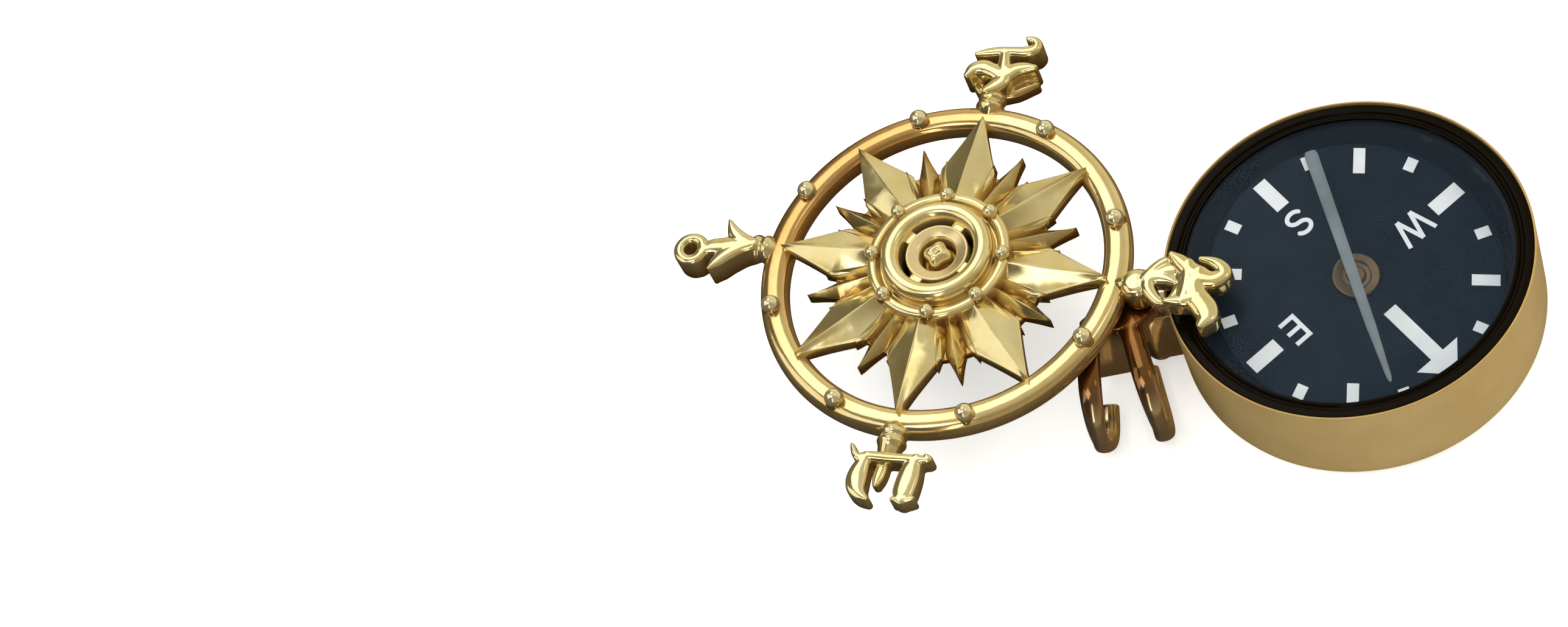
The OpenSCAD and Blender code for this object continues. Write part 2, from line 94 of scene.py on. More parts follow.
def patch(grid, close_rows=False, close_cols=False):
    """A grid of points and the quads between neighbours; a closed side joins its last line to its first."""
    rows, cols = grid.shape[:2]
    i, j = np.meshgrid(np.arange(rows if close_rows else rows - 1),
                       np.arange(cols if close_cols else cols - 1), indexing="ij")
    down, right = (i + 1) % rows, (j + 1) % cols
    quads = np.stack([i * cols + j, i * cols + right, down * cols + right, down * cols + j], axis=-1)
    return grid.reshape(-1, 3), quads.reshape(-1, 4)


def closed_tube(grid):
    """A tube of closed sections whose two ends are drawn together to their middles."""
    ends = [np.broadcast_to(grid[k].mean(axis=0), grid[k].shape)[None] for k in (0, -1)]
    return patch(np.concatenate([ends[0], grid, ends[1]]), close_cols=True)


def moved(one, how):
    """The patch with its points carried by the function how."""
    points, quads = one
    return how(points), quads


def shifted(one, by):
    """The patch moved by the vector by."""
    return moved(one, lambda points: points + np.array(by))


def around(one, count, first=0.0):
    """Copies of the patch, spaced evenly round the Z axis from the angle first."""
    return [moved(one, lambda p, k=k: turned(p, first + 360.0 * k / count)) for k in range(count)]


def rounded(corners, steps=6):
    """A path through corners (a, b, reach): each corner is cut at its reach from both sides and bridged by
    the curve (1-s)^2 start + 2 s (1-s) corner + s^2 end."""
    c = np.array(corners, float)
    s = np.linspace(0, 1, steps + 1)[:, None]
    path = [c[:1, :2]]
    for before, here, after in zip(c[:-2], c[1:-1], c[2:]):
        point, reach = here[:2], here[2]
        to_before, to_after = before[:2] - point, after[:2] - point
        start = point + to_before / np.linalg.norm(to_before) * reach
        end = point + to_after / np.linalg.norm(to_after) * reach
        path.append((1 - s) ** 2 * start + 2 * s * (1 - s) * point + s ** 2 * end)
    path.append(c[-1:, :2])
    return np.concatenate(path)


def lathe(path, segments=192, lobes=0, lobe_depth=0.0):
    """A path of radius and height carried round the Z axis: r cos a, r sin a, z. Lobes multiply the radius
    by 1 + lobe_depth cos(lobes a)."""
    a = np.linspace(0, 2 * np.pi, segments, endpoint=False)[None, :]
    r, z = path[:, 0][:, None], path[:, 1][:, None]
    r = r * (1 + lobe_depth * np.cos(lobes * a))
    return patch(xyz(r * np.cos(a), r * np.sin(a), z + 0 * a), close_cols=True)


def prism(outline, low, high, edge=0.12):
    """A plan outline, given anticlockwise, raised from low to high with rounded edges. Towards the upper
    edge it is drawn in by edge (1 - cos t) at the height high - edge (1 - sin t), with t up to a quarter
    turn, and towards the lower edge the two change places."""
    outline = np.array(outline, float)
    before, after = np.roll(outline, 1, axis=0), np.roll(outline, -1, axis=0)
    along = after - before
    inward = np.stack([-along[:, 1], along[:, 0]], axis=-1)
    inward /= np.linalg.norm(inward, axis=1)[:, None]
    t = np.linspace(0, np.pi / 2, 5)
    shrink = np.concatenate([edge * (1 - np.sin(t)), edge * (1 - np.cos(t))])
    height = np.concatenate([low + edge * (1 - np.cos(t)), high - edge * (1 - np.sin(t))])
    plan = outline[None] + inward[None] * shrink[:, None, None]
    return closed_tube(xyz(plan[..., 0], plan[..., 1], height[:, None]))


def smooth_line(bends, per_span=10):
    """The bends and the points between them: each span is the cubic from bend to bend whose slope at each of
    the two is half the step between that bend's neighbours."""
    b = np.array(bends, float)
    padded = np.concatenate([b[:1], b, b[-1:]])
    p0, p1, p2, p3 = (padded[k:len(padded) - 3 + k][:, None] for k in range(4))
    t = np.linspace(0, 1, per_span, endpoint=False)[None, :, None]
    line = 0.5 * (2 * p1 + (p2 - p0) * t + (2 * p0 - 5 * p1 + 4 * p2 - p3) * t ** 2
                  + (3 * p1 - p0 - 3 * p2 + p3) * t ** 3)
    return np.concatenate([line.reshape(-1, b.shape[1]), b[-1:]])


# Pieces

# In metres: points nearer than the first are merged, and edges shorter than the second are taken out
MERGE, COLLAPSE = 2e-7, 1e-8


def mesh_of(name, patches, sharp):
    """One mesh of all patches: doubles are merged, faces turned outwards, and edges over the angle sharp
    kept crisp."""
    starts = np.cumsum([0] + [len(points) for points, _ in patches])
    points = np.concatenate([points for points, _ in patches]) * MM
    quads = np.concatenate([quads + start for (_, quads), start in zip(patches, starts)])
    mesh = bpy.data.meshes.new(name)
    mesh.from_pydata(points.tolist(), [], quads.tolist())
    work = bmesh.new()
    work.from_mesh(mesh)
    bmesh.ops.remove_doubles(work, verts=work.verts, dist=MERGE)
    bmesh.ops.dissolve_degenerate(work, edges=work.edges, dist=COLLAPSE)
    bmesh.ops.recalc_face_normals(work, faces=work.faces)
    work.to_mesh(mesh)
    work.free()
    mesh.shade_smooth()
    mesh.set_sharp_from_angle(angle=np.radians(sharp))
    return mesh


def piece(name, patches, body, nodes, finish, sharp=35):
    """A new piece in the material finish, which rides on a body and stands for the named solids."""
    made = bpy.data.objects.new(name, mesh_of(name, patches, sharp))
    bpy.context.scene.collection.objects.link(made)
    made.data.materials.append(finish)
    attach(made, body)
    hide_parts(*nodes)
    return made


def cover_piece(name, patches, finish, sharp=35):
    """A piece of the open cover, from patches in the cover's own plan."""
    placed = [moved(one, in_cover) for one in patches]
    return piece(name, placed, "cover_body", ["cover"], finish, sharp)


def cast_as_one(made, grain, rounds):
    """Runs overlapping forms together as one casting: a remesh as fine as grain, then rounds of smoothing,
    both applied."""
    melt = made.modifiers.new("melt", "REMESH")
    melt.mode = "VOXEL"
    melt.voxel_size = grain * MM
    soften = made.modifiers.new("soften", "SMOOTH")
    soften.factor = 0.5
    soften.iterations = rounds
    graph = bpy.context.evaluated_depsgraph_get()
    cast = bpy.data.meshes.new_from_object(made.evaluated_get(graph))
    made.modifiers.clear()
    finish = made.data.materials[0]
    made.data = cast
    made.data.name = made.name
    if not cast.materials:
        cast.materials.append(finish)
    cast.shade_smooth()


# Finishes

UP = (0, 0, 1)
PLAIN = (1.0, 1.0, 1.0)


def ramp_node(tree, stops):
    """A colour ramp through the stops, each a place from 0 to 1 and a colour."""
    node = tree.nodes.new("ShaderNodeValToRGB")
    while len(node.color_ramp.elements) < len(stops):
        node.color_ramp.elements.new(0.5)
    for element, (at, colour) in zip(node.color_ramp.elements, stops):
        element.position = at
        element.color = (*colour, 1)
    return node


def product(tree, one, other):
    """Two colours multiplied."""
    node = tree.nodes.new("ShaderNodeVectorMath")
    node.operation = "MULTIPLY"
    tree.links.new(one, node.inputs[0])
    tree.links.new(other, node.inputs[1])
    return node.outputs["Vector"]


class Finish:
    """A material under way: its nodes, its Principled shader, and the object coordinates that its patterns
    read."""

    def __init__(self, name):
        self.made = bpy.data.materials.new(name)
        self.made.use_nodes = True
        self.tree = self.made.node_tree
        self.shader = self.tree.nodes["Principled BSDF"]
        self.place = self.tree.nodes.new("ShaderNodeTexCoord").outputs["Object"]

    def set(self, **values):
        """Numbers and colours that are the same all over, put on the shader's own sockets."""
        for name, value in values.items():
            self.shader.inputs[name.replace("_", " ")].default_value = value

    def noise_on(self, where, scale, detail, rough):
        """Soft noise over the points where, with about scale patches to their unit of length."""
        node = self.tree.nodes.new("ShaderNodeTexNoise")
        node.inputs["Scale"].default_value = scale
        node.inputs["Detail"].default_value = detail
        node.inputs["Roughness"].default_value = rough
        self.tree.links.new(where, node.inputs["Vector"])
        return node.outputs["Fac"]

    def noise(self, size, detail=3.0, rough=0.55):
        """Soft noise whose patches are about size millimetres across."""
        return self.noise_on(self.place, 1 / (size * MM), detail, rough)

    def turning_lines(self):
        """Noise drawn out level, fifty times finer in height than in plan, as the marks of a lathe tool."""
        node = self.tree.nodes.new("ShaderNodeMapping")
        node.inputs["Scale"].default_value = (120, 120, 6000)
        self.tree.links.new(self.place, node.inputs["Vector"])
        return self.noise_on(node.outputs["Vector"], scale=1.0, detail=4, rough=0.6)

    def along(self, direction, low, high):
        """How far a point lies along a direction: 0 up to low, 1 from high, and evenly between. Both are in
        millimetres, and high may be the lower one."""
        reach = self.tree.nodes.new("ShaderNodeVectorMath")
        reach.operation = "DOT_PRODUCT"
        self.tree.links.new(self.place, reach.inputs[0])
        reach.inputs[1].default_value = direction
        node = self.tree.nodes.new("ShaderNodeMapRange")
        node.inputs["From Min"].default_value = low * MM
        node.inputs["From Max"].default_value = high * MM
        self.tree.links.new(reach.outputs["Value"], node.inputs["Value"])
        return node.outputs["Result"]

    def ramp(self, value, stops):
        """Colours met in turn as the value rises."""
        node = ramp_node(self.tree, stops)
        self.tree.links.new(value, node.inputs["Fac"])
        return node.outputs["Color"]

    def bump(self, value, depth, over=None):
        """Relief of the given depth in millimetres, on top of an earlier relief."""
        node = self.tree.nodes.new("ShaderNodeBump")
        node.inputs["Strength"].default_value = 1.0
        node.inputs["Distance"].default_value = depth * MM
        self.tree.links.new(value, node.inputs["Height"])
        if over is not None:
            self.tree.links.new(over, node.inputs["Normal"])
        return node.outputs["Normal"]

    def colour(self, first, *more):
        """The surface colour: all the given colours multiplied."""
        for other in more:
            first = product(self.tree, first, other)
        self.tree.links.new(first, self.shader.inputs["Base Color"])

    def roughness(self, value, stops):
        """Roughness met in turn as the value rises."""
        greys = [(at, (rough, rough, rough)) for at, rough in stops]
        self.tree.links.new(self.ramp(value, greys), self.shader.inputs["Roughness"])

    def relief(self, normal):
        """The relief of the skin, as bump gives it."""
        self.tree.links.new(normal, self.shader.inputs["Normal"])


# The factor by which gold is darkened in its low places: painted shade
RECESS_SHADE = (0.40, 0.26, 0.08)

# Directions in plan, and the distances along them between which a tone changes: painted shade over the
# cover's far side and on the drum's left
TO_FAR_SIDE, FAR_FROM, FAR_TO = (-0.65, 0.76, 0), 22.0, 29.0
TO_RIGHT, RIGHT_FROM, RIGHT_TO = (0.95, -0.3, 0), -10.0, 11.0


def gold(name, pale, deep, rough, full, bare, metallic=0.92, ripple=0.02, recess_shade=RECESS_SHADE, far_side=PLAIN):
    """Cast and polished gold: its tone drifts between pale and deep, and from the height full, where it is
    plain, it darkens by the factor for the low places down to the height bare, which is painted shade in
    those low places; its polish is uneven, its skin ripples a little and carries fine polishing marks. Worn
    skin scatters a little light, which the share that isn't metallic stands for. On the open cover's far
    side, at the back left, the tone is multiplied by the far-side factor, painted shade on that side."""
    f = Finish(name)
    f.set(Metallic=metallic)
    drift = f.ramp(f.noise(size=2.4, detail=4), [(0.3, deep), (0.7, pale)])
    # painted shade: darker below the height full, down to the height bare
    depth = f.ramp(f.along(UP, full, bare), [(0.0, PLAIN), (1.0, recess_shade)])
    # painted shade on the open cover's far side
    side = f.ramp(f.along(TO_FAR_SIDE, FAR_FROM, FAR_TO), [(0.0, PLAIN), (1.0, far_side)])
    f.colour(drift, depth, side)
    f.roughness(f.noise(size=0.9, detail=5, rough=0.6), [(0.3, rough), (0.75, 2 * rough)])
    skin = f.bump(f.noise(size=1.4, detail=2, rough=0.4), ripple)
    f.relief(f.bump(f.noise(size=0.2, detail=2, rough=0.5), 0.0003, over=skin))
    return f.made


def satin_gold(name, pale, deep):
    """Gold turned on a lathe and left satin: fine lines run round the drum, tone and sheen drift slowly. Its
    scratches scatter light from all round, which the share that isn't metallic stands for. The left is
    painted deeper than the right and the top of the lip darker than the wall, as painted shade."""
    f = Finish(name)
    f.set(Metallic=0.45)
    lines = f.turning_lines()
    drift = f.ramp(f.noise(size=3.5), [(0.3, deep), (0.7, pale)])
    # painted shade: the drum's left deeper than its right, and the top of the lip darker
    side = f.ramp(f.along(TO_RIGHT, RIGHT_FROM, RIGHT_TO), [(0.0, (0.72, 0.69, 0.62)), (1.0, PLAIN)])
    lip = f.ramp(f.along(UP, CASE_H - 0.08, CASE_H), [(0.0, PLAIN), (1.0, (0.72, 0.64, 0.5))])
    f.colour(drift, side, lip)
    f.roughness(lines, [(0.3, 0.28), (0.75, 0.36)])
    wear = f.bump(f.noise(size=0.35), 0.003)
    f.relief(f.bump(lines, 0.0005, over=wear))
    return f.made


def moulded(name, dark, light, rough_low, rough_high, grain=0.3, depth=0.003, metallic=0.0, specular=0.5):
    """Painted or moulded stuff: mottled between dark and light, with a fine grain in its gloss and skin."""
    f = Finish(name)
    f.set(Metallic=metallic, Specular_IOR_Level=specular)
    f.colour(f.ramp(f.noise(size=1.8, detail=4), [(0.35, dark), (0.7, light)]))
    f.roughness(f.noise(size=grain), [(0.3, rough_low), (0.7, rough_high)])
    f.relief(f.bump(f.noise(size=grain * 0.6), depth))
    return f.made


def housing(name, well, bezel):
    """Black anodised metal: navy down in the well, warmer up on the bezel, that warmth a painted reflection
    of the gold round it, with a slow drift in its tone.
    """
    f = Finish(name)
    f.set(Specular_IOR_Level=0.06)
    # the warmer tone on the bezel is a painted reflection of the gold
    tone = f.ramp(f.along(UP, 6.0, 6.8), [(0.0, well), (1.0, bezel)])
    drift = f.ramp(f.noise(size=3.0), [(0.3, (0.8, 0.8, 0.8)), (0.7, PLAIN)])
    f.colour(tone, drift)
    f.roughness(f.noise(size=1.2), [(0.3, 0.16), (0.7, 0.24)])
    f.relief(f.bump(f.noise(size=0.5), 0.0004))
    return f.made


def clear_glass(name):
    """Thin mineral glass: nearly all of it lets the dial through, the rest is a clean gloss with faint
    smears."""
    f = Finish(name)
    f.set(Base_Color=(0.045, 0.08, 0.12, 1), Alpha=0.08, IOR=1.45)
    f.roughness(f.noise(size=4.0, detail=4), [(0.35, 0.02), (0.75, 0.07)])
    return f.made


PALE_GOLD = (0.97, 0.84, 0.47)
DEEP_GOLD = (0.90, 0.71, 0.30)
# The beads' paler gold stands in for the highlights on them: a painted highlight
BEAD_HIGHLIGHT = (1.0, 0.90, 0.58)


def polished(name, bare, full, rough=0.07, pale=PALE_GOLD, deep=DEEP_GOLD, **more):
    """The cover's gold, which darkens from the height full down to bare, above the cover's underside: painted
    shade in its low places.
    """
    return gold(name, pale, deep, rough, COVER_Z + full, COVER_Z + bare, **more)


# Each gold below is painted in shade from its full height down to its bare height, and the ring's far side is
# painted in shade as well
RING_GOLD = polished("ring_gold", -0.1, 0.9, rough=0.09, pale=(0.96, 0.78, 0.40), deep=(0.88, 0.65, 0.27),
                     far_side=(0.80, 0.60, 0.45))
BEAD_GOLD = polished("bead_gold", 1.5, 1.95, pale=BEAD_HIGHLIGHT, deep=PALE_GOLD, metallic=0.85, ripple=0.004)
SMALL_BEAD_GOLD = polished("small_bead_gold", 2.6, 2.98, pale=BEAD_HIGHLIGHT, deep=PALE_GOLD, metallic=0.85,
                           ripple=0.004)
RAY_GOLD = polished("ray_gold", 0.9, 1.65, rough=0.12)
FLUTE_GOLD = polished("flute_gold", 1.2, 2.0, rough=0.1)
BOSS_GOLD = polished("boss_gold", 1.3, 2.6, rough=0.1, metallic=0.85)
CUP_GOLD = polished("cup_gold", 1.6, 2.7, rough=0.16, pale=(0.97, 0.79, 0.43), deep=(0.90, 0.69, 0.34),
                    metallic=0.8)
LETTER_GOLD = polished("letter_gold", 0.3, 1.75)
PIN_GOLD = polished("pin_gold", -7.0, -6.0)
# The bail's gold darkens upwards from 4.9 to 6.8 mm: painted shade of the open cover over its top plate. The
# case's lug shares this finish.
BAIL_GOLD = gold("bail_gold", (1.0, 0.86, 0.60), (0.90, 0.70, 0.42), rough=0.08, full=4.9, bare=6.8,
                 metallic=0.95, ripple=0.012, recess_shade=(0.25, 0.14, 0.07))
SATIN = satin_gold("satin_gold", (0.83, 0.62, 0.275), (0.75, 0.54, 0.22))
HOUSING = housing("black_housing", well=(0.003, 0.006, 0.010), bezel=(0.005, 0.003, 0.001))
NAVY = moulded("navy_card", (0.003, 0.006, 0.012), (0.006, 0.011, 0.020), 0.5, 0.7, depth=0.001, specular=0.1)
WHITE = moulded("white_marks", (0.82, 0.88, 0.94), (0.93, 0.97, 1.0), 0.5, 0.7, grain=0.2)
GREY = moulded("grey_bar", (0.14, 0.17, 0.19), (0.21, 0.25, 0.27), 0.3, 0.5, grain=0.4)
BRASS = moulded("hub_brass", (0.26, 0.19, 0.12), (0.42, 0.31, 0.19), 0.28, 0.45, metallic=1.0)
GLASS = clear_glass("crystal")


# Cover: the ring and its beads. Heights are above the cover's underside.

RING_IN, RING_OUT, RING_H = 10.08, 11.86, 1.5
BEAD_R, BEAD_AT, BEAD_Z = 0.6, 11.05, RING_H + 0.25
SMALL_BEAD_R, SMALL_BEAD_AT, SMALL_BEAD_Z = 0.46, 4.19, 2.85


def ring_patch():
    """A rounded section carried round the ring: r cos a, r sin a, z. Its height is multiplied by
    1 + 0.02 sin(3 a) + 0.015 sin(7 a), as in a casting filed by hand."""
    section = rounded([(RING_IN, 0.72, 0), (RING_IN, 0, 0.55), (RING_OUT, 0, 0.55), (RING_OUT, RING_H, 0.76),
                       (RING_IN, RING_H, 0.74), (RING_IN, 0.721, 0)], 10)
    a = np.radians(np.linspace(0, 360, 480, endpoint=False))[None, :]
    r, z = section[:, :1], section[:, 1:]
    swell = 0.02 * np.sin(3 * a) + 0.015 * np.sin(7 * a)
    return patch(xyz(r * np.cos(a), r * np.sin(a), z * (1 + swell)), close_rows=True, close_cols=True)


def bead_patch(radius, distance, height):
    """A bead on a short foot, turned: from its crown down a circle, 0.97 as high as wide, to below its widest
    place, then out to a foot ring."""
    t = np.radians(np.linspace(90, -28, 18))
    ball = np.stack([radius * np.cos(t), radius * np.sin(t) * 0.97], axis=-1)
    foot = np.array([[1.04, -0.62], [1.1, -0.74], [1.06, -0.95], [0, -0.95]]) * radius
    return shifted(lathe(np.concatenate([ball, foot]), 40), (0, distance, height))


def outer_ring():
    """The ring, and the eight beads that sit between the points of the large rays."""
    cover_piece("ring_beads", around(bead_patch(BEAD_R, BEAD_AT, BEAD_Z), 8, 22.5), BEAD_GOLD)
    cover_piece("outer_ring", [ring_patch()], RING_GOLD)


# Cover: rays and flutes

PLATE_Z = 0.8
RIDGE_ROUND = 0.035
TIP_LENGTH = 0.3


def spike_patch(in_r, in_w, wide_r, wide_w, tip_r, edge_z, ridge_z, tip_z, hollow, roll):
    """A roof-shaped point along +Y, from its root at in_r over its widest place at wide_r to its tip at
    tip_r. Its half width grows from in_w to wide_w and falls to a fine tip, less a waist of 0.05 sin(pi u),
    with u from 0 at the widest place to 1 at the tip. Across it, with v from -1 to 1, the height is
    edge + (ridge - edge) (1 - |v|) - hollow sin(pi |v|), so that the two facets are a little hollow, less a
    roll-off of the last tenth at the edges. |v| is rounded at the ridge, and hollow and roll-off shrink
    with the half width."""
    y = np.concatenate([np.linspace(in_r, wide_r - 0.25, 8),
                        np.linspace(wide_r - 0.2, wide_r + 0.2, 5),
                        np.linspace(wide_r + 0.25, tip_r - TIP_LENGTH, 24),
                        tip_r - TIP_LENGTH * np.linspace(0.8, 0, 5) ** 1.5])
    flare = np.interp(y, [in_r, wide_r - 0.15, wide_r + 0.15, tip_r],
                      [in_w, wide_w - 0.06, wide_w - 0.06, 0.0])
    waist = 0.05 * np.sin(np.pi * np.clip((y - wide_r) / (tip_r - wide_r), 0, 1))
    blunt = 0.045 * np.sqrt(np.clip((tip_r - y) / TIP_LENGTH, 0, 1))
    half = np.maximum(flare - waist, 0.0) + blunt
    share = (y - in_r) / (tip_r - in_r)
    ridge = ridge_z + (tip_z - ridge_z) * share
    edge = np.interp(y, [in_r, wide_r, tip_r], [edge_z, edge_z, tip_z - 0.12])
    v = np.concatenate([[-1, -0.985, -0.96, -0.93, -0.9], np.linspace(-0.85, -0.08, 12),
                        [-0.05, -0.025, 0, 0.025, 0.05], np.linspace(0.08, 0.85, 12),
                        [0.9, 0.93, 0.96, 0.985, 1]])
    off = (np.sqrt(v ** 2 + RIDGE_ROUND ** 2) - RIDGE_ROUND) / (np.sqrt(1 + RIDGE_ROUND ** 2) - RIDGE_ROUND)
    narrow = np.clip(half / wide_w, 0, 1)[:, None]
    fall = roll * np.clip((np.abs(v) - 0.9) / 0.1, 0, 1) ** 2
    top = edge[:, None] + (ridge - edge)[:, None] * (1 - off) - narrow * (hollow * np.sin(np.pi * off) + fall)
    top_x = half[:, None] * v[None, :]
    low_x = np.stack([half * 0.97, half * 0.9, -half * 0.9, -half * 0.97], axis=1)
    low_z = np.array([PLATE_Z + 0.08, PLATE_Z, PLATE_Z, PLATE_Z + 0.08])[None, :] + 0 * low_x
    x = np.concatenate([top_x, low_x], axis=1)
    z = np.concatenate([top, low_z], axis=1)
    return closed_tube(xyz(x, y[:, None], z))


def rays():
    """The eight large rays."""
    one = spike_patch(in_r=4.3, in_w=1.05, wide_r=6.6, wide_w=1.78, tip_r=10.72, edge_z=1.72, ridge_z=2.5,
                      tip_z=1.95, hollow=0.07, roll=0.08)
    cover_piece("rays", around(one, 8), RAY_GOLD, sharp=60)


def flutes():
    """Three small flutes in each gap, the middle one longer, on a thin web."""
    patches = []
    for side, wide_r, wide_w, tip_r in ((-1, 6.1, 0.52, 7.5), (0, 6.5, 0.68, 8.65), (1, 6.1, 0.52, 7.5)):
        one = spike_patch(in_r=4.4, in_w=0.42, wide_r=wide_r, wide_w=wide_w, tip_r=tip_r, edge_z=1.3,
                          ridge_z=2.15, tip_z=1.75, hollow=0.02, roll=0.04)
        patches += around(one, 8, 22.5 + 10.2 * side)
    web = lathe(rounded([(0, 1.3, 0), (6.85, 1.3, 0.1), (6.85, PLATE_Z, 0.1), (0, PLATE_Z, 0)]))
    cover_piece("flutes", [*patches, web], FLUTE_GOLD, sharp=60)


# Cover: the boss in the middle

DOME_R, DOME_W, DOME_Z, DOME_H = 2.95, 0.62, 2.6, 0.84


def boss():
    """Flange, domed ring, cup and stud, all turned about the rose's middle. The domed ring's section is
    x = 2.95 + 0.62 cos(t)^0.75, z = 2.6 + 0.84 sin(t)^0.75, so that its top is broad. Four short bridges
    join the cup to the ring, and the small beads sit on the flange."""
    flange = rounded([(2.33, PLATE_Z, 0), (4.55, PLATE_Z, 0.1), (4.55, 2.66, 0.3), (3.95, 2.7, 0.18),
                      (3.8, 2.15, 0.1), (3.57, 2.15, 0.08), (3.57, 2.55, 0)], 6)
    t = np.radians(np.linspace(0, 180, 40))
    dome = np.stack([DOME_R + DOME_W * np.sign(np.cos(t)) * np.abs(np.cos(t)) ** 0.75,
                     DOME_Z + DOME_H * np.abs(np.sin(t)) ** 0.75], axis=-1)
    ring = lathe(np.concatenate([flange, dome, [[2.33, 2.5], [2.33, PLATE_Z + 0.001]]]))
    stud_path = rounded([(0.7, 1.5, 0), (0.84, 2.2, 0.15), (0.82, 2.8, 0.34), (0.34, 3.08, 0.2),
                         (0, 2.92, 0)], 6)
    stud = lathe(np.concatenate([[[0, 1.5]], stud_path]), 96, lobes=4, lobe_depth=0.12)
    bridge = prism([(1.8, -0.42), (2.5, -0.42), (2.5, 0.42), (1.8, 0.42)], 1.2, 2.8, edge=0.08)
    cover_piece("boss_ring", [ring, stud, *around(bridge, 4, 66)], BOSS_GOLD, sharp=50)
    bead = bead_patch(SMALL_BEAD_R, SMALL_BEAD_AT, SMALL_BEAD_Z)
    cover_piece("boss_beads", around(bead, 8, 6), SMALL_BEAD_GOLD)
    cup = lathe(rounded([(0, PLATE_Z, 0), (2.4, PLATE_Z, 0.02), (2.4, 1.3, 0.02), (2.02, 1.3, 0.1),
                         (1.99, 2.9, 0.16), (1.16, 2.66, 0.24), (1.06, 1.6, 0.1), (0, 1.55, 0)], 6))
    cover_piece("boss_cup", [cup], CUP_GOLD, sharp=50)


# Cover: letters on their posts. Bends of the strokes are x, y and half width in the cover's plan.

N_STROKES = [
    # hook of the left wing, up and over into the wing itself and down the left leg
    [[-1.8, 16.3, 0.2], [-1.74, 16.95, 0.32], [-1.5, 17.5, 0.42], [-1.06, 17.84, 0.5], [-0.6, 17.5, 0.58],
     [-0.5, 16.95, 0.6], [-0.7, 16.3, 0.7], [-1.15, 15.6, 0.55], [-1.6, 14.95, 0.46], [-1.9, 14.45, 0.26]],
    # right wing, joined across the notch
    [[-0.7, 16.25, 0.62], [0.0, 16.15, 0.7], [0.65, 16.4, 0.74], [1.15, 16.9, 0.76], [1.6, 17.3, 0.76],
     [2.1, 17.46, 0.66], [2.55, 17.3, 0.4]],
    # right leg
    [[0.85, 16.3, 0.6], [1.15, 15.7, 0.42], [1.25, 15.2, 0.32], [1.3, 14.8, 0.22]],
    # lower edge of the body
    [[-1.3, 15.6, 0.46], [-0.5, 15.78, 0.5], [0.3, 15.82, 0.5], [1.0, 15.75, 0.46]],
]
N_FOOT_STROKES = [
    # low web that closes the left side
    [[-1.1, 15.0, 0.5], [-1.0, 14.4, 0.6], [-0.7, 13.8, 0.5]],
    # left foot
    [[-1.75, 14.4, 0.2], [-1.55, 14.0, 0.34], [-1.15, 13.6, 0.36], [-0.5, 13.2, 0.4]],
    # arch under the body
    [[-1.3, 14.9, 0.24], [-0.5, 15.2, 0.3], [0.4, 15.2, 0.3], [1.2, 14.85, 0.24]],
    # hump over the neck
    [[-0.2, 14.85, 0.24], [-0.4, 14.4, 0.42], [-0.45, 13.9, 0.48], [-0.3, 13.3, 0.46]],
    # crescent
    [[-0.4, 13.25, 0.4], [0.3, 13.35, 0.42], [0.85, 13.75, 0.38], [1.25, 14.25, 0.32], [1.45, 14.75, 0.18]],
]
E_STROKES = [
    # stem
    [[13.5, 2.75, 0.16], [13.7, 2.95, 0.24], [13.8, 2.2, 0.32], [13.84, 1.4, 0.34], [13.88, 0.6, 0.36],
     [13.9, -0.2, 0.36], [13.95, -0.9, 0.34], [14.1, -1.5, 0.26]],
    # point at its foot
    [[14.15, -1.45, 0.24], [13.8, -1.8, 0.22], [13.35, -2.05, 0.14]],
    # upper arm and its serif
    [[13.9, 2.1, 0.46], [14.5, 2.0, 0.64], [15.2, 1.95, 0.72], [16.0, 1.92, 0.7], [16.35, 1.9, 0.56]],
    [[16.4, 2.6, 0.2], [16.55, 2.0, 0.28], [16.6, 1.45, 0.2]],
    # lower arm, turned up at its end
    [[14.0, -1.0, 0.36], [14.8, -1.2, 0.56], [15.5, -1.25, 0.64], [16.1, -1.1, 0.58], [16.5, -0.75, 0.42],
     [16.75, -0.3, 0.24]],
]
E_TONGUE_STROKES = [
    # short middle arm
    [[13.9, 0.05, 0.36], [14.5, 0.02, 0.42], [15.1, -0.02, 0.4], [15.5, -0.04, 0.28]],
]
S_STROKES = [
    # the two pointed shoulders
    [[0.1, -12.8, 0.5], [-0.1, -13.5, 0.55], [-0.6, -14.1, 0.44], [-1.3, -14.55, 0.14]],
    [[0.15, -12.8, 0.55], [0.45, -13.5, 0.6], [1.1, -14.2, 0.54], [1.7, -14.65, 0.44], [2.2, -14.95, 0.18]],
    # neck down to the curl
    [[0.35, -13.8, 0.66], [0.5, -14.6, 0.62], [0.62, -15.2, 0.58], [0.85, -15.65, 0.46]],
    # the curl itself, once round
    [[0.95, -15.8, 0.38], [0.38, -16.03, 0.37], [0.14, -16.6, 0.35], [0.38, -17.17, 0.35],
     [0.95, -17.42, 0.35], [1.52, -17.17, 0.37], [1.76, -16.6, 0.38], [1.52, -16.03, 0.4],
     [0.95, -15.8, 0.4]],
]
W_STROKES = [
    # outer stroke with its curl
    [[-16.72, 1.6, 0.22], [-16.62, 2.0, 0.3], [-16.3, 2.22, 0.38], [-15.95, 2.05, 0.42], [-15.76, 1.5, 0.4],
     [-15.72, 0.8, 0.36], [-15.66, 0.0, 0.36], [-15.5, -0.8, 0.34], [-15.3, -1.5, 0.22]],
    # middle stroke, which peaks between the wings
    [[-14.6, 2.45, 0.24], [-14.56, 1.9, 0.4], [-14.4, 1.3, 0.5], [-13.95, 0.55, 0.6], [-14.2, -0.25, 0.52],
     [-14.4, -0.9, 0.54], [-14.2, -1.5, 0.48], [-13.7, -1.8, 0.28]],
    # link between the outer and the middle stroke
    [[-15.7, 0.2, 0.28], [-15.0, 0.35, 0.4], [-14.1, 0.5, 0.5]],
    # inner lobe, drawn down to the post
    [[-14.05, 0.65, 0.5], [-13.45, 0.55, 0.54], [-13.0, 0.15, 0.5], [-12.7, -0.2, 0.38]],
]
